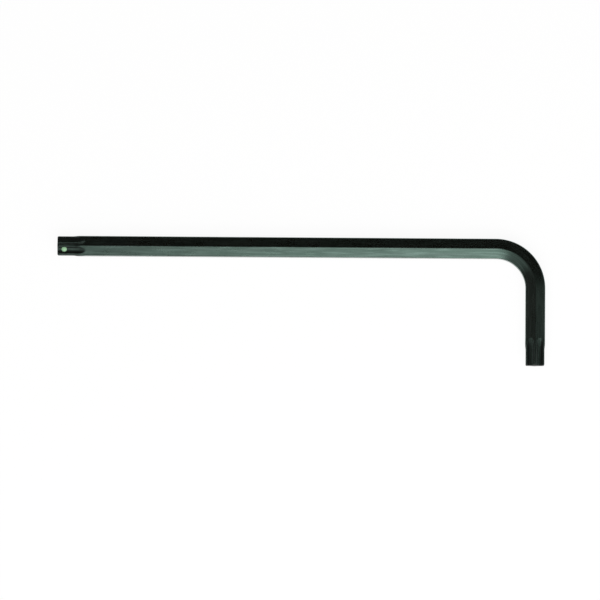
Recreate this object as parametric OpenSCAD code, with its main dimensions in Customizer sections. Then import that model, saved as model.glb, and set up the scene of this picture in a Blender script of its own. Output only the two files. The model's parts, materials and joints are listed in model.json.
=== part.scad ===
// Star key: one hexagon bar bent into an L, with a six-lobed star tip at the end of each arm.
// A small springy insert in one flute of the long arm's tip holds a screw on the key.
// The key lies flat on the corners of its bar. X runs along the long arm, whose tip is at -X,
// the short arm points to -Y, and Z is 0 under the bar.

/* [Bar] */
// Size of the hexagon bar across its flats
bar_across_flats = 4.76; // [4.4:0.02:5.6]
// Depth by which each corner of the bar is rounded off
corner_rounding = 0.05; // [0.02:0.01:0.12]
// Length of the long arm, from its tip to the back of the short arm
long_arm = 118; // [60:1:200]
// Length of the short arm, from its tip to the back of the long arm
short_arm = 30.6; // [24:0.2:60]
// Radius inside the bend
bend_inner_radius = 7.2; // [4:0.2:12]

/* [Star tips] */
// Size of the star across its lobes
star_across_lobes = 5.08; // [4.7:0.02:5.2]
// Size of the star across the roots of its flutes
star_across_flutes = 3.6; // [3.4:0.02:3.8]
// Radius of the rounded end of a lobe
lobe_radius = 0.42; // [0.4:0.01:0.48]
// Radius of a flute
flute_radius = 1.05; // [1:0.01:1.1]
// Length of the star, from the tip's face to the start of its shoulder
star_length = 3; // [2.5:0.1:5]
// Length of the conical shoulder between the star and the full bar
shoulder_length = 2.4; // [1:0.1:4]
// Length of the straight stretch of a flute, from the tip's face
flute_length = 3.8; // [3:0.1:5]
// Radius on which the root of a flute runs out through the bar's flat
runout_radius = 7.5; // [5:0.5:12]
// Width of the chamfer round the tip's face
tip_chamfer = 0.25; // [0.1:0.05:0.4]

/* [Holding insert] */
// Diameter of the insert
insert_diameter = 1.3; // [1:0.05:1.4]
// Clearance between the insert and its pocket, all round
insert_clearance = 0.03; // [0.02:0.01:0.08]
// Distance from the tip's face to the middle of the insert
insert_from_tip = 1.65; // [1.2:0.05:2.5]
// Height of the insert's crown above the root of its flute
insert_proud = 0.32; // [0.25:0.01:0.45]
// Radius of the insert's domed crown
crown_radius = 0.9; // [0.75:0.05:1.5]
// Depth of the insert's pocket below the root of its flute
pocket_depth = 1.5; // [1:0.05:1.7]
// How far the insert gives when the tip goes into a screw
insert_travel = 0.2; // [0.1:0.01:0.24]
// Space that stays under the insert when it is pressed in
pocket_floor_gap = 0.06; // [0.03:0.01:0.2]

/* [Hidden] */
$fn = 96;

// Length by which cutting shapes run past what they cut
cut_overrun = 0.5;

// Bar: a hexagon with a corner up and a flat towards the inside of the bend
side_count = 6;
side_pitch = 360 / side_count;
half_pitch = side_pitch / 2;
right_angle = 90;
half_turn = 180;
hexagon_radius = bar_across_flats / 2 / cos(half_pitch);
bar_corner_radius = hexagon_radius - corner_rounding;
bend_radius = bend_inner_radius + bar_across_flats / 2;
long_straight = long_arm - bar_across_flats / 2 - bend_radius;
short_straight = short_arm - bar_across_flats / 2 - bend_radius;
bend_centre = [long_straight - long_arm / 2, short_straight - short_arm / 2, bar_corner_radius];

// Star: lobes on the bar's corners and flutes in the middle of its flats.
// Its round core ends where the lobes and the flutes meet.
lobe_centre = star_across_lobes / 2 - lobe_radius;
flute_root = star_across_flutes / 2;
flute_centre = flute_root + flute_radius;
lobe_place = lobe_centre * [cos(half_pitch), sin(half_pitch)];
lobe_to_flute = [flute_centre, 0] - lobe_place;
core_radius = norm(lobe_place + lobe_to_flute * lobe_radius / norm(lobe_to_flute));
shoulder_slope = (bar_corner_radius - core_radius) / shoulder_length;
shoulder_end = star_length + shoulder_length;
sweep_radius = runout_radius - flute_radius;
runout_angle = acos((flute_root + runout_radius - hexagon_radius) / runout_radius);

// Insert: a pin in a blind pocket, in the flute beside the top corner on the short arm's side
insert_angle = 2 * side_pitch;
pocket_radius = insert_diameter / 2 + insert_clearance;
pocket_floor = flute_root - pocket_depth;
insert_floor = pocket_floor + pocket_floor_gap + insert_travel;
insert_length = flute_root + insert_proud - insert_floor;

// Outline of the hexagon bar
module bar_section() {
    intersection() {
        rotate(right_angle) circle(r = hexagon_radius, $fn = side_count);
        circle(r = bar_corner_radius);
    }
}

// Outline of the star before its flutes are cut
module lobed_section() {
    circle(r = core_radius);
    for (k = [0 : side_count - 1])
        rotate(half_pitch + k * side_pitch) translate([lobe_centre, 0]) circle(r = lobe_radius);
}

// The star's blank, from the tip's face at Z = 0, with a chamfer round the face
module star_blank() {
    rim = star_across_lobes / 2;
    intersection() {
        linear_extrude(height = shoulder_end) lobed_section();
        rotate_extrude() polygon([
            [0, 0],
            [rim - tip_chamfer, 0],
            [rim + cut_overrun, tip_chamfer + cut_overrun],
            [rim + cut_overrun, shoulder_end + cut_overrun],
            [0, shoulder_end + cut_overrun]
        ]);
    }
}

// The straight bar behind the star, turned down to a cone at its shoulder
module shouldered_bar(straight) {
    back = straight + cut_overrun;
    outer = hexagon_radius + cut_overrun;
    intersection() {
        linear_extrude(height = straight) bar_section();
        rotate_extrude() polygon([
            [0, star_length - cut_overrun],
            [core_radius - cut_overrun * shoulder_slope, star_length - cut_overrun],
            [outer, star_length + (outer - core_radius) / shoulder_slope],
            [outer, back],
            [0, back]
        ]);
    }
}

// The path of a round cutter that makes one flute and leaves it through the bar's flat
module flute_path() {
    translate([flute_centre, 0, -cut_overrun])
        cylinder(r = flute_radius, h = flute_length + cut_overrun);
    translate([flute_centre + sweep_radius, 0, flute_length]) rotate([right_angle, 0, 0])
        rotate_extrude(angle = runout_angle, start = half_turn - runout_angle)
            translate([sweep_radius, 0]) circle(r = flute_radius);
}

// One straight arm along Z, with its star tip at Z = 0
module arm(straight) {
    difference() {
        union() {
            star_blank();
            shouldered_bar(straight);
        }
        for (k = [0 : side_count - 1])
            rotate(k * side_pitch) flute_path();
    }
}

// Puts what is drawn along Z, with the tip's face at Z = 0, on the long arm
module on_long_arm() {
    translate([-long_arm / 2, bend_centre.y + bend_radius, bar_corner_radius])
        rotate([right_angle, 0, right_angle]) children();
}

// Puts what is drawn along Z, with the tip's face at Z = 0, on the short arm
module on_short_arm() {
    translate([bend_centre.x + bend_radius, -short_arm / 2, bar_corner_radius])
        rotate([right_angle, 0, half_turn]) children();
}

// Puts what is drawn along Z, from the bar's axis outwards, at the insert
module at_insert() {
    on_long_arm() rotate(insert_angle) translate([0, 0, insert_from_tip])
        rotate([0, right_angle, 0]) children();
}

// The whole steel bar, bent once, with both star tips and the insert's pocket
module key_bar() {
    color([0.16, 0.19, 0.18])
        difference() {
            union() {
                on_long_arm() arm(long_straight);
                on_short_arm() arm(short_straight);
                translate(bend_centre) rotate_extrude(angle = right_angle)
                    translate([bend_radius, 0]) bar_section();
            }
            at_insert() translate([0, 0, pocket_floor])
                cylinder(r = pocket_radius, h = pocket_depth + star_across_lobes);
        }
}

// The springy insert, a round pin with a domed crown
module holding_insert() {
    color([0.66, 0.8, 0.66])
        at_insert() translate([0, 0, insert_floor]) rotate_extrude() {
            square([insert_diameter / 2, insert_length / 2]);
            intersection() {
                square([insert_diameter / 2, insert_length + cut_overrun]);
                translate([0, insert_length - crown_radius]) circle(r = crown_radius);
            }
        }
}

key_bar();
holding_insert();
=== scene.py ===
# Looks of the star key: a bent bar of dark drawn steel with a star tip on each end,
# and a pale green insert in one flute of the long arm's tip.
# Sizes that the frame doesn't give repeat those of the solids, in metres.
import json
import math

import bpy
from mathutils import Matrix, Vector


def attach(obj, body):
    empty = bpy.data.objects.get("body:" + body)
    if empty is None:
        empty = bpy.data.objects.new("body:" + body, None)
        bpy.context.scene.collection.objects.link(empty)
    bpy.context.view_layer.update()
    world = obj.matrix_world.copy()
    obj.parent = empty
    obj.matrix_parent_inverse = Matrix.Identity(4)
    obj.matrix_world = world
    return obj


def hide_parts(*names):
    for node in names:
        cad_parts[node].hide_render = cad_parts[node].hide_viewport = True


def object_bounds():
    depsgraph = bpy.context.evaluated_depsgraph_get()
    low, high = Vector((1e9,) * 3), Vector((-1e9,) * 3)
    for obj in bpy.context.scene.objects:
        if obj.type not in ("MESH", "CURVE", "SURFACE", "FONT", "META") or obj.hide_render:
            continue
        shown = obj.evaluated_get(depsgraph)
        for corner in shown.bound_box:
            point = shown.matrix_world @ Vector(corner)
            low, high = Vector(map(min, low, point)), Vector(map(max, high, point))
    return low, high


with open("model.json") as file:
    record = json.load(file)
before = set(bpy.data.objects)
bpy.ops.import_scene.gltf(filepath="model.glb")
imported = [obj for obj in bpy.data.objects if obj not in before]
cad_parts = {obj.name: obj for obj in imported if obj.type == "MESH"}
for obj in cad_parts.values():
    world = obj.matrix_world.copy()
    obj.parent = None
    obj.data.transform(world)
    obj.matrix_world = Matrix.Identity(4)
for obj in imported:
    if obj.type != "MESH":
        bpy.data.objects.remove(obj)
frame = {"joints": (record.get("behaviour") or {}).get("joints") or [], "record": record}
cad_low, cad_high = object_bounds()

MM = 0.001
RIGHT_ANGLE = math.pi / 2
SIDE_COUNT = 6
SIDE_PITCH = math.tau / SIDE_COUNT
HALF_PITCH = SIDE_PITCH / 2
UP = Vector((0, 0, 1))
SAME_PLACE = 0.0003 * MM
CREASE = math.radians(40)

# Bar: its tips and flats come from the frame
mounts = {mount["name"]: Vector(mount["pos_m"]) for mount in frame["record"]["mounts"]}
long_tip = mounts["long_tip_star"]
short_tip = mounts["short_tip_star"]
half_flats = (mounts["long_arm_outer_flat"].y - mounts["long_arm_inner_flat"].y) / 2
BEND_RADIUS = 9.58 * MM
CORNER_BLEND = 0.2 * MM

# The bar's run, from the long arm's tip round the bend to the short arm's tip
bend_centre = Vector((short_tip.x - BEND_RADIUS, long_tip.y - BEND_RADIUS, long_tip.z))
long_run = bend_centre.x - long_tip.x
bend_run = BEND_RADIUS * RIGHT_ANGLE
short_run = bend_centre.y - short_tip.y
whole_run = long_run + bend_run + short_run

# Star tips: lobes on the bar's corners and flutes in the middle of its flats
LOBE_REACH = 2.54 * MM
LOBE_RADIUS = 0.42 * MM
FLUTE_ROOT = 1.8 * MM
FLUTE_RADIUS = 1.05 * MM
FLUTE_LENGTH = 3.8 * MM
RUNOUT_RADIUS = 7.5 * MM
CORE_RADIUS = 2.257 * MM
STAR_LENGTH = 3 * MM
SHOULDER_SLOPE = 0.1839
SHOULDER_BLEND = 0.12 * MM
EDGE_BLEND = 0.08 * MM
TIP_CHAMFER = 0.25 * MM
FACE_EDGE = 0.06 * MM
runout_above_flat = RUNOUT_RADIUS + FLUTE_ROOT - half_flats
flute_end = FLUTE_LENGTH + math.sqrt(RUNOUT_RADIUS**2 - runout_above_flat**2)

# Cut finish with painted shade: the depths between which it sets in, the wall leans and end leans
# between which its painted shade on the flutes' steep walls and run-out ends sets in, and its share in
# a root, where less shade is painted
CUT_DEPTHS = (0.002 * MM, 0.025 * MM)
SHADED_WALL_LEANS = (math.radians(8), math.radians(32))
SHADED_END_LEANS = (math.radians(10), math.radians(40))
ROOT_SHARE = 0.25

# Rings of the bar's mesh: the runs of a tip from its face inwards, each with its count of rings
RING_POINTS = 192
STAR_RUN = 2.3 * MM
RUNOUT_RUN = 4.9 * MM
TIP_RUNS = ((FACE_EDGE, 4), (TIP_CHAMFER, 5), (STAR_RUN, 12), (RUNOUT_RUN, 60))
tip_run = sum(run for run, count in TIP_RUNS)
ARM_RINGS = 6
BEND_RINGS = 48

# Size of each ring of a tip's face, as a share of the ring round it
FACE_SHARES = (0.75, 0.6, 0.5)

# Points of a ring, counted from a flat's middle: on the flute's edge, where that stops, and kept still
EDGE_POINT = 11
STOP_POINT = 3
KEPT_POINT = 14
ring_step = math.tau / RING_POINTS
edge_turn = EDGE_POINT * ring_step
stop_turn = STOP_POINT * ring_step
kept_turn = KEPT_POINT * ring_step

# Insert: its axis comes from the joint that presses it in
press = next(joint for joint in frame["joints"] if joint["name"] == "insert_press")
insert_out = -Vector(press["axis"]).normalized()
insert_foot = Vector(press["pos_m"])
POCKET_RADIUS = 0.68 * MM
POCKET_FLOOR = 0.3 * MM
POCKET_POINTS = 64
INSERT_RADIUS = 0.65 * MM
INSERT_FLOOR = 0.56 * MM
INSERT_TOP = 2.12 * MM
CROWN_RADIUS = 0.9 * MM
CROWN_RINGS = 7

# Steel: streaks along the bar, each with its length, width and detail
BAND_SIZE = (60 * MM, 0.9 * MM, 2)
LINE_SIZE = (12 * MM, 0.15 * MM, 3)
MOTTLE_SIZE = (2.2 * MM, 1.1 * MM, 6)
PATCH_SIZE = (6.5 * MM, 1.8 * MM, 3)
STREAK_SIZE = (7 * MM, 0.4 * MM, 3)
NOISE_RANGE = (0.3, 0.7)
PATCH_RANGE = (0.4, 0.65)
STREAK_RANGE = (0.48, 0.66)
STEEL_GREEN = (0.088, 0.14, 0.116)
STEEL_GREY = (0.108, 0.155, 0.136)
STEEL_DULL = (0.058, 0.095, 0.078)
STEEL_WORN = (0.152, 0.226, 0.196)
# Dark cut finish of the tips, which also serves as painted shade on the flutes' steep walls and
# run-out ends
CUT_DEEP = (0.016, 0.0195, 0.018)
CUT_PALE = (0.024, 0.0285, 0.026)
DULL_SHARE = 0.6
RUB_SHARE = 0.7
WEAR_SHARE = 0.15
STEEL_ROUGHNESS = (0.26, 0.32)
CUT_ROUGHNESS = (0.5, 0.6)
CUT_GLOSS = 0.25
CUT_METALLIC = 0.88
LINE_STRENGTH = 0.5
LINE_DEPTH = 0.004 * MM

# Nylon: a fine even grain
GRAIN_SIZE = (0.25 * MM, 0.25 * MM, 4)
NYLON_DEEP = (0.24, 0.44, 0.255)
NYLON_PALE = (0.295, 0.5, 0.305)
NYLON_ROUGHNESS = (0.4, 0.55)
GRAIN_STRENGTH = 0.3
GRAIN_DEPTH = 0.01 * MM

# Floor: white paper, round, with a rim that curves up
FLOOR_RADIUS = 3
FLOOR_POINTS = 96
RIM_RADIUS = 0.25
RIM_TURN = math.radians(85)
RIM_RINGS = 8
PAPER_WHITE = (0.93, 0.93, 0.93, 1)
PAPER_ROUGHNESS = 0.9
PAPER_GLOW = 0.92

# Softboxes: degrees round from the front and up, then distance, width, height and radiance
FRONT_SOFTBOX = (27.3, 31, 0.31, 0.325, 0.22, 1.77)
FILL_SOFTBOX = (-32, 30, 0.31, 0.22, 0.25, 0.35)
LEFT_SOFTBOX = (-90, 30, 0.55, 0.3, 0.25, 0.09)
RIGHT_SOFTBOX = (90, 31, 0.57, 0.2, 0.26, 0.165)
OVERHEAD_SOFTBOX = (0, 75, 1.5, 1.6, 1.6, 3.3)
TOP_SOFTBOX = (0, 88, 1, 1, 1, 0.07)
ROOM_COLOUR = (0.032, 0.022, 0.02, 1)

# The left softbox has a tint, because the flats that mirror it are less green in the photo
LEFT_TINT = (1.15, 0.94, 0.98)

# Camera, as the photo is framed
LENS = 500
SENSOR = 36
VIEW_WIDTH = 145.1 * MM
VIEW_TILT = math.radians(4)
VIEW_ROLL = math.radians(0.4)
AIM_SHIFT = Vector((-0.27 * MM, 0.21 * MM, 0))


def soft_least(first, second, blend):
    """The lesser of two reaches, with the edge between them rounded off."""
    near = max(blend - abs(first - second), 0)
    return min(first, second) - near * near / (4 * blend)


def soft_most(first, second, blend):
    """The greater of two reaches, with the corner between them filled out."""
    return -soft_least(-first, -second, blend)


def between(value, ends):
    """How far a value has gone from one end of a range to the other, from 0 to 1."""
    first, last = ends
    return min(max((value - first) / (last - first), 0), 1)


def straightened(place):
    """Where a point of the bent bar lies on the straight bar: along it, outwards and up."""
    off = place - bend_centre
    if off.x <= 0:
        return Vector((long_run + off.x, off.y - BEND_RADIUS, off.z))
    if off.y <= 0:
        return Vector((long_run + bend_run - off.y, off.x - BEND_RADIUS, off.z))
    swing = math.atan2(off.x, off.y)
    return Vector((long_run + BEND_RADIUS * swing, math.hypot(off.x, off.y) - BEND_RADIUS, off.z))


def bent(along, outwards, up):
    """Where a point of the straight bar lies on the bent bar."""
    radius = BEND_RADIUS + outwards
    if along <= long_run:
        return bend_centre + Vector((along - long_run, radius, up))
    if along >= long_run + bend_run:
        return bend_centre + Vector((radius, long_run + bend_run - along, up))
    swing = (along - long_run) / BEND_RADIUS
    return bend_centre + Vector((radius * math.sin(swing), radius * math.cos(swing), up))


def depth_from_tip(along):
    """Distance along the bar from the face of the nearer tip."""
    return min(along, whole_run - along)


def turn_from_flat(angle):
    """Turn from the middle of the nearest flat, for an angle from the bar's outward flat."""
    return (angle + HALF_PITCH) % SIDE_PITCH - HALF_PITCH


def hexagon_reach(turn):
    """Reach of the hexagon bar from its axis, at a turn from the middle of the nearest flat."""
    flat = half_flats / math.cos(turn)
    next_flat = half_flats / math.cos(SIDE_PITCH - abs(turn))
    return soft_least(flat, next_flat, CORNER_BLEND)


def lobe_reach(turn):
    """Reach of the star before its flutes are cut: a round core with six lobes."""
    off_lobe = HALF_PITCH - abs(turn)
    lobe_centre = LOBE_REACH - LOBE_RADIUS
    aside = lobe_centre * math.sin(off_lobe)
    if aside >= LOBE_RADIUS:
        return CORE_RADIUS
    lobe = lobe_centre * math.cos(off_lobe) + math.sqrt(LOBE_RADIUS**2 - aside**2)
    return max(CORE_RADIUS, lobe)


def flute_axis(depth):
    """Distance from the bar's axis to a flute's, which leaves the bar on a wide radius."""
    past = min(max(depth - FLUTE_LENGTH, 0), RUNOUT_RADIUS)
    return FLUTE_ROOT + FLUTE_RADIUS + RUNOUT_RADIUS - math.sqrt(RUNOUT_RADIUS**2 - past**2)


def flute_reach(turn, depth):
    """Reach to the surface of a flute, which runs out through the flat, and no limit beside it."""
    flute_centre = flute_axis(depth)
    aside = flute_centre * math.sin(turn)
    if abs(aside) >= FLUTE_RADIUS:
        return math.inf
    return flute_centre * math.cos(turn) - math.sqrt(FLUTE_RADIUS**2 - aside**2)


def bar_reach(along, angle):
    """Reach of the finished bar from its axis, at an angle from its outward flat."""
    depth = depth_from_tip(along)
    turn = turn_from_flat(angle)
    shoulder = CORE_RADIUS + (depth - STAR_LENGTH) * SHOULDER_SLOPE
    bar = soft_least(hexagon_reach(turn), shoulder, SHOULDER_BLEND)
    blank = soft_most(lobe_reach(turn), bar, SHOULDER_BLEND)
    fluted = soft_least(blank, flute_reach(turn, depth), EDGE_BLEND)
    chamfered = soft_least(fluted, LOBE_REACH - TIP_CHAMFER + depth, EDGE_BLEND)
    edge = max(FACE_EDGE - depth, 0)
    return chamfered - FACE_EDGE + math.sqrt(max(FACE_EDGE**2 - edge**2, 0))


def flute_edge(depth):
    """Turn from the middle of a flat to its flute's edge, which goes back outwards past the flute."""
    off_flat = flute_axis(depth) - half_flats
    if off_flat < FLUTE_RADIUS:
        edge = math.atan2(math.sqrt(FLUTE_RADIUS**2 - off_flat**2), half_flats)
        return min(max(edge, stop_turn), edge_turn)
    return stop_turn + (edge_turn - stop_turn) * between(depth, (flute_end, tip_run))


def drawn_angle(along, angle):
    """Angle of a ring's point, drawn to the edge of the flute, which keeps that edge clean."""
    edge = flute_edge(depth_from_tip(along))
    turn = turn_from_flat(angle)
    size = abs(turn)
    if size >= kept_turn:
        return angle
    if size <= edge_turn:
        drawn = size * edge / edge_turn
    else:
        drawn = edge + (size - edge_turn) * (kept_turn - edge) / (kept_turn - edge_turn)
    return angle - turn + math.copysign(drawn, turn)


def pick_points(piece, passes):
    """Goes into edit mode with only those points of the piece selected that pass."""
    bpy.ops.object.mode_set(mode="EDIT")
    bpy.ops.mesh.select_mode(type="VERT")
    bpy.ops.mesh.select_all(action="DESELECT")
    bpy.ops.object.mode_set(mode="OBJECT")
    for point in piece.data.vertices:
        point.select = passes(point.co)
    bpy.ops.object.mode_set(mode="EDIT")


def add_rings(direction, run, count):
    """Extrudes the selected ring along a straight run, in equal steps."""
    bpy.ops.mesh.extrude_repeat(steps=count, offset=direction * (run / count), scale_offset=1)


def draw_round_bar():
    """Draws a plain round bar, ring by ring: long arm, bend and short arm."""
    bpy.ops.object.select_all(action="DESELECT")
    bpy.ops.mesh.primitive_circle_add(vertices=RING_POINTS, radius=half_flats, location=long_tip,
                                      rotation=(0, RIGHT_ANGLE, 0))
    bar = bpy.context.object
    bar.name = "steel_bar"
    bpy.ops.object.transform_apply(location=True, rotation=True, scale=True)
    to_bend = Vector((1, 0, 0))
    to_tip = Vector((0, -1, 0))
    bpy.ops.object.mode_set(mode="EDIT")
    bpy.ops.mesh.select_all(action="SELECT")
    for run, count in TIP_RUNS:
        add_rings(to_bend, run, count)
    add_rings(to_bend, long_run - tip_run, ARM_RINGS)
    bpy.ops.mesh.spin(steps=BEND_RINGS, angle=RIGHT_ANGLE, center=bend_centre, axis=UP)
    add_rings(to_tip, short_run - tip_run, ARM_RINGS)
    for run, count in reversed(TIP_RUNS):
        add_rings(to_tip, run, count)
    bpy.ops.object.mode_set(mode="OBJECT")
    return bar


def form_bar(bar):
    """Presses the round bar into its hexagon, with the two star tips."""
    # Each point goes to its own reach, because no operator gives tips with such blended edges
    for point in bar.data.vertices:
        along, outwards, up = straightened(point.co)
        angle = drawn_angle(along, math.atan2(up, outwards))
        reach = bar_reach(along, angle)
        point.co = bent(along, reach * math.cos(angle), reach * math.sin(angle))


def close_face(bar, middle, axis):
    """Closes a tip's open end with rings that draw in to its middle."""
    pick_points(bar, lambda place: abs((place - middle).dot(axis)) < SAME_PLACE)
    for share in FACE_SHARES:
        bpy.ops.mesh.extrude_edges_move()
        bpy.ops.transform.resize(value=(share, share, share), center_override=middle)
    bpy.ops.mesh.extrude_edges_move()
    bpy.ops.mesh.merge(type="CENTER")
    bpy.ops.object.mode_set(mode="OBJECT")


def cut_pocket(bar):
    """Cuts the blind pocket that the insert sits in."""
    depth = 2 * LOBE_REACH
    bpy.ops.object.select_all(action="DESELECT")
    bpy.ops.mesh.primitive_cylinder_add(
        vertices=POCKET_POINTS, radius=POCKET_RADIUS, depth=depth,
        location=insert_foot + insert_out * (POCKET_FLOOR + depth / 2),
        rotation=insert_out.to_track_quat("Z", "Y").to_euler())
    cutter = bpy.context.object
    bpy.context.view_layer.objects.active = bar
    cut = bar.modifiers.new("pocket", "BOOLEAN")
    cut.operation = "DIFFERENCE"
    cut.solver = "EXACT"
    cut.object = cutter
    bpy.ops.object.modifier_apply(modifier=cut.name)
    bpy.data.objects.remove(cutter)


def keep_straight_places(bar):
    """Keeps each point's place on the straight bar, for patterns that follow the bend."""
    places = bar.data.attributes.new("straight_place", "FLOAT_VECTOR", "POINT")
    for point, place in zip(bar.data.vertices, places.data):
        place.vector = straightened(point.co)


def keep_cut_and_shade_shares(bar):
    """Keeps how far each point was cut out of the drawn bar, with painted shade: full on the flutes'
    steep walls and run-out ends, less along their roots.
    """
    shares = bar.data.attributes.new("cut_and_shade_share", "FLOAT", "POINT")
    for point, share in zip(bar.data.vertices, shares.data):
        along, outwards, up = straightened(point.co)
        angle = math.atan2(up, outwards)
        turn = turn_from_flat(angle)
        flat = angle - turn
        across = bent(along, -math.sin(flat), math.cos(flat)) - bent(along, 0, 0)
        flat_normal = bent(along, math.cos(flat), math.sin(flat)) - bent(along, 0, 0)
        cut = between(hexagon_reach(turn) - math.hypot(outwards, up), CUT_DEPTHS)
        # Painted shade: steep flute walls and run-out ends get the whole dark cut finish, the
        # flat-facing roots only ROOT_SHARE of it
        wall = between(math.asin(min(abs(point.normal.dot(across)), 1)), SHADED_WALL_LEANS)
        end = between(point.normal.angle(flat_normal), SHADED_END_LEANS)
        share.value = cut * (ROOT_SHARE + (1 - ROOT_SHARE) * max(wall, end))


def finish_surface(piece):
    """Merges doubles, turns all faces outwards and shades smooth between creases."""
    bpy.ops.object.select_all(action="DESELECT")
    piece.select_set(True)
    bpy.context.view_layer.objects.active = piece
    bpy.ops.object.mode_set(mode="EDIT")
    bpy.ops.mesh.select_all(action="SELECT")
    bpy.ops.mesh.remove_doubles(threshold=SAME_PLACE)
    bpy.ops.mesh.normals_make_consistent(inside=False)
    bpy.ops.object.mode_set(mode="OBJECT")
    bpy.ops.object.shade_smooth_by_angle(angle=CREASE)


def make_bar():
    """The whole steel bar, bent once, with both star tips and the insert's pocket."""
    bar = draw_round_bar()
    form_bar(bar)
    close_face(bar, long_tip, Vector((1, 0, 0)))
    close_face(bar, short_tip, Vector((0, 1, 0)))
    finish_surface(bar)
    cut_pocket(bar)
    finish_surface(bar)
    keep_straight_places(bar)
    keep_cut_and_shade_shares(bar)
    return bar


def make_insert():
    """The pale green insert: a round pin with a domed crown."""
    depth = INSERT_TOP - INSERT_FLOOR
    crown_drop = CROWN_RADIUS - math.sqrt(CROWN_RADIUS**2 - INSERT_RADIUS**2)
    wall = depth - crown_drop
    bpy.ops.object.select_all(action="DESELECT")
    bpy.ops.mesh.primitive_cylinder_add(
        vertices=POCKET_POINTS, radius=INSERT_RADIUS, depth=wall,
        location=insert_foot + insert_out * (INSERT_FLOOR + wall / 2),
        rotation=insert_out.to_track_quat("Z", "Y").to_euler())
    insert = bpy.context.object
    insert.name = "green_insert"
    bpy.ops.object.transform_apply(location=True, rotation=True, scale=True)
    rim_height = INSERT_FLOOR + wall
    pick_points(insert, lambda place: (place - insert_foot).dot(insert_out) > rim_height - SAME_PLACE)
    radius = INSERT_RADIUS
    height = rim_height
    for ring in range(CROWN_RINGS):
        next_radius = INSERT_RADIUS * (1 - (ring + 1) / (CROWN_RINGS + 1))
        next_height = INSERT_TOP - CROWN_RADIUS + math.sqrt(CROWN_RADIUS**2 - next_radius**2)
        bpy.ops.mesh.inset(thickness=radius - next_radius)
        bpy.ops.transform.translate(value=insert_out * (next_height - height))
        radius = next_radius
        height = next_height
    bpy.ops.object.mode_set(mode="OBJECT")
    return insert


def add_node(tree, kind, inputs=(), **settings):
    """Adds a shader node and sets or links its inputs."""
    node = tree.nodes.new("ShaderNode" + kind)
    for name, value in settings.items():
        setattr(node, name, value)
    for socket, value in dict(inputs).items():
        if isinstance(value, bpy.types.NodeSocket):
            tree.links.new(value, node.inputs[socket])
        else:
            node.inputs[socket].default_value = value
    return node


def new_material(name):
    """A new material, with its node tree and its shader."""
    material = bpy.data.materials.new(name)
    material.use_nodes = True
    return material, material.node_tree, material.node_tree.nodes["Principled BSDF"]


def stretched_noise(tree, place, along, across, detail):
    """A noise drawn out along the bar: streaks of that length and width."""
    scale = (1 / along, 1 / across, 1 / across)
    stretched = add_node(tree, "Mapping", {"Vector": place, "Scale": scale}).outputs["Vector"]
    noise = add_node(tree, "TexNoise", {"Vector": stretched, "Scale": 1, "Detail": detail})
    return noise.outputs["Fac"]


def spread(tree, value, old_range, new_range):
    """Stretches a value from one range to another and stops at its ends."""
    ranged = add_node(tree, "MapRange", {
        "Value": value, "From Min": old_range[0], "From Max": old_range[1],
        "To Min": new_range[0], "To Max": new_range[1]})
    return ranged.outputs["Result"]


def raised(tree, height, strength, depth):
    """The normal of a surface that is raised by a pattern."""
    bump = add_node(tree, "Bump", {"Height": height, "Strength": strength, "Distance": depth})
    return bump.outputs["Normal"]


def mixed(tree, share, first, second):
    """A colour mixed from two, by a share."""
    mix = tree.nodes.new("ShaderNodeMix")
    mix.data_type = "RGBA"
    tree.links.new(share, mix.inputs["Factor"])
    colours = [socket for socket in mix.inputs if socket.type == "RGBA"]
    for socket, value in zip(colours, (first, second)):
        if isinstance(value, bpy.types.NodeSocket):
            tree.links.new(value, socket)
        else:
            socket.default_value = (*value, 1)
    return next(socket for socket in mix.outputs if socket.type == "RGBA")


def dark_steel():
    """Drawn steel under a thin dark oxide: green-grey, with streaks along the bar, and a dark cut
    finish on the tips with painted shade on their flutes' walls.
    """
    material, tree, shader = new_material("dark_steel")
    place = add_node(tree, "Attribute", attribute_name="straight_place").outputs["Vector"]
    cut = add_node(tree, "Attribute", attribute_name="cut_and_shade_share").outputs["Fac"]
    bands = stretched_noise(tree, place, *BAND_SIZE)
    lines = stretched_noise(tree, place, *LINE_SIZE)
    mottle = stretched_noise(tree, place, *MOTTLE_SIZE)
    patches = stretched_noise(tree, place, *PATCH_SIZE)
    streaks = stretched_noise(tree, place, *STREAK_SIZE)
    drawn = mixed(tree, spread(tree, bands, NOISE_RANGE, (0, 1)), STEEL_GREEN, STEEL_GREY)
    dulled = mixed(tree, spread(tree, patches, PATCH_RANGE, (0, DULL_SHARE)), drawn, STEEL_DULL)
    rubbed = mixed(tree, spread(tree, streaks, STREAK_RANGE, (0, RUB_SHARE)), dulled, STEEL_WORN)
    worn = mixed(tree, spread(tree, mottle, NOISE_RANGE, (0, WEAR_SHARE)), rubbed, STEEL_WORN)
    # Dark cut colours laid on by the cut share: a real cut finish, and painted shade on the flutes'
    # steep walls and run-out ends
    cut_and_shade_colour = mixed(tree, spread(tree, mottle, NOISE_RANGE, (0, 1)), CUT_DEEP, CUT_PALE)
    tree.links.new(mixed(tree, cut, worn, cut_and_shade_colour), shader.inputs["Base Color"])
    satin = spread(tree, mottle, NOISE_RANGE, STEEL_ROUGHNESS)
    matt = spread(tree, mottle, NOISE_RANGE, CUT_ROUGHNESS)
    tree.links.new(spread(tree, cut, (0, 1), (satin, matt)), shader.inputs["Roughness"])
    tree.links.new(raised(tree, lines, LINE_STRENGTH, LINE_DEPTH), shader.inputs["Normal"])
    tree.links.new(spread(tree, cut, (0, 1), (1, CUT_METALLIC)), shader.inputs["Metallic"])
    shader.inputs["Specular IOR Level"].default_value = CUT_GLOSS
    return material


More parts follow.
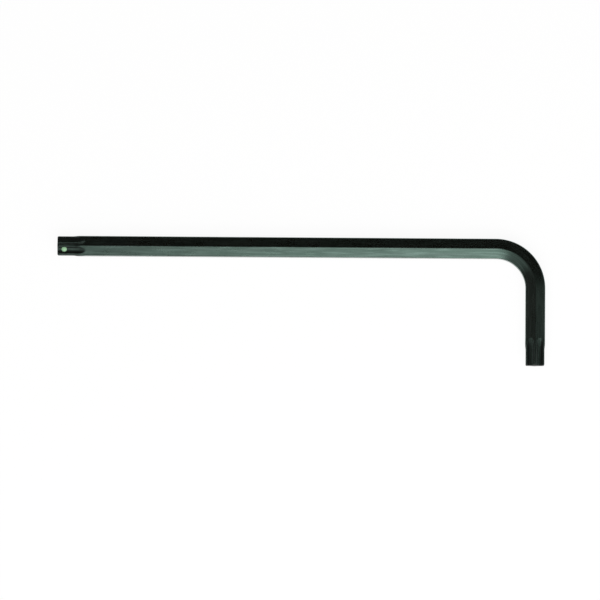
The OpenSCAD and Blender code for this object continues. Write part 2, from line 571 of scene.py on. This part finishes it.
def green_nylon():
    """Pale green nylon, slightly waxy."""
    material, tree, shader = new_material("green_nylon")
    place = add_node(tree, "TexCoord").outputs["Object"]
    grain = stretched_noise(tree, place, *GRAIN_SIZE)
    colour = mixed(tree, spread(tree, grain, NOISE_RANGE, (0, 1)), NYLON_DEEP, NYLON_PALE)
    tree.links.new(colour, shader.inputs["Base Color"])
    tree.links.new(spread(tree, grain, NOISE_RANGE, NYLON_ROUGHNESS), shader.inputs["Roughness"])
    tree.links.new(raised(tree, grain, GRAIN_STRENGTH, GRAIN_DEPTH), shader.inputs["Normal"])
    return material


def calculated(tree, operation, first, second):
    """The result of one operation on two values."""
    return add_node(tree, "Math", {0: first, 1: second}, operation=operation).outputs[0]


def studio_white():
    """White floor paper: it keeps shadows, and looks white where it is seen or mirrored."""
    material, tree, shader = new_material("studio_white")
    shader.inputs["Base Color"].default_value = PAPER_WHITE
    shader.inputs["Roughness"].default_value = PAPER_ROUGHNESS
    shader.inputs["Specular IOR Level"].default_value = 0
    path = add_node(tree, "LightPath").outputs
    seen = calculated(tree, "MAXIMUM", path["Is Camera Ray"], path["Is Glossy Ray"])
    shown = calculated(tree, "MAXIMUM", seen, path["Is Transmission Ray"])
    share = calculated(tree, "MULTIPLY", shown, PAPER_GLOW)
    glow = add_node(tree, "Emission", {"Color": (1, 1, 1, 1), "Strength": 1}).outputs[0]
    paper = add_node(tree, "MixShader", {0: share, 1: shader.outputs[0], 2: glow}).outputs[0]
    tree.links.new(paper, tree.nodes["Material Output"].inputs["Surface"])
    return material


def make_floor():
    """A wide round floor whose rim curves up into a low backdrop."""
    bpy.ops.object.select_all(action="DESELECT")
    bpy.ops.mesh.primitive_circle_add(vertices=FLOOR_POINTS, radius=FLOOR_RADIUS, fill_type="NGON")
    floor = bpy.context.object
    floor.name = "floor"
    pick_points(floor, lambda place: True)
    bpy.ops.mesh.select_mode(type="EDGE")
    bpy.ops.mesh.region_to_loop()
    radius = FLOOR_RADIUS
    height = 0
    for ring in range(RIM_RINGS):
        turn = RIM_TURN * (ring + 1) / RIM_RINGS
        next_radius = FLOOR_RADIUS + RIM_RADIUS * math.sin(turn)
        next_height = RIM_RADIUS * (1 - math.cos(turn))
        growth = next_radius / radius
        bpy.ops.mesh.extrude_edges_move()
        bpy.ops.transform.resize(value=(growth, growth, 1), center_override=(0, 0, height))
        bpy.ops.transform.translate(value=(0, 0, next_height - height))
        radius = next_radius
        height = next_height
    bpy.ops.object.mode_set(mode="OBJECT")
    bpy.ops.object.shade_smooth()
    floor.data.materials.append(studio_white())


def add_softbox(name, azimuth, elevation, distance, width, height, radiance):
    """A softbox that looks at the key, as bright as given all over its face."""
    swing = math.radians(azimuth)
    rise = math.radians(elevation)
    level = math.cos(rise)
    place = distance * Vector((math.sin(swing) * level, -math.cos(swing) * level, math.sin(rise)))
    bpy.ops.object.light_add(type="AREA", location=place)
    lamp = bpy.context.object
    lamp.name = name
    lamp.rotation_euler = (-place).to_track_quat("-Z", "Y").to_euler()
    lamp.data.shape = "RECTANGLE"
    lamp.data.size = width
    lamp.data.size_y = height
    lamp.data.energy = radiance * math.pi * width * height
    lamp.visible_camera = False
    return lamp


def light_studio():
    """A dim room, softboxes round the key for its steel and a wide one over the floor."""
    world = bpy.data.worlds.new("studio")
    world.use_nodes = True
    world.node_tree.nodes["Background"].inputs["Color"].default_value = ROOM_COLOUR
    bpy.context.scene.world = world
    add_softbox("front_softbox", *FRONT_SOFTBOX)
    add_softbox("fill_softbox", *FILL_SOFTBOX)
    left = add_softbox("left_softbox", *LEFT_SOFTBOX)
    left.data.color = LEFT_TINT
    add_softbox("right_softbox", *RIGHT_SOFTBOX)
    overhead = add_softbox("overhead_softbox", *OVERHEAD_SOFTBOX)
    # The wide one lights the floor, and isn't mirrored because it would wash out the dark steel
    overhead.visible_glossy = False
    add_softbox("top_softbox", *TOP_SOFTBOX)


def place_camera():
    """The camera over the key, tilted and rolled a little, as in the photo."""
    aim = (cad_low + cad_high) / 2 + AIM_SHIFT
    back = Vector((0, -math.sin(VIEW_TILT), math.cos(VIEW_TILT)))
    level = Vector((1, 0, 0))
    right = level * math.cos(VIEW_ROLL) + back.cross(level) * math.sin(VIEW_ROLL)
    rise = back.cross(right)
    bpy.ops.object.camera_add()
    camera = bpy.context.object
    camera.data.sensor_width = SENSOR
    camera.data.lens = LENS
    distance = VIEW_WIDTH * LENS / SENSOR
    turn = Matrix((right, rise, back)).transposed().to_4x4()
    camera.matrix_world = Matrix.Translation(aim + back * distance) @ turn
    bpy.context.scene.camera = camera


steel_bar = make_bar()
steel_bar.data.materials.append(dark_steel())
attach(steel_bar, "bar")
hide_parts("key_bar")

green_insert = make_insert()
finish_surface(green_insert)
green_insert.data.materials.append(green_nylon())
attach(green_insert, "insert")
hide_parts("holding_insert")

make_floor()
light_studio()
place_camera()
bpy.context.scene.view_settings.view_transform = "Standard"
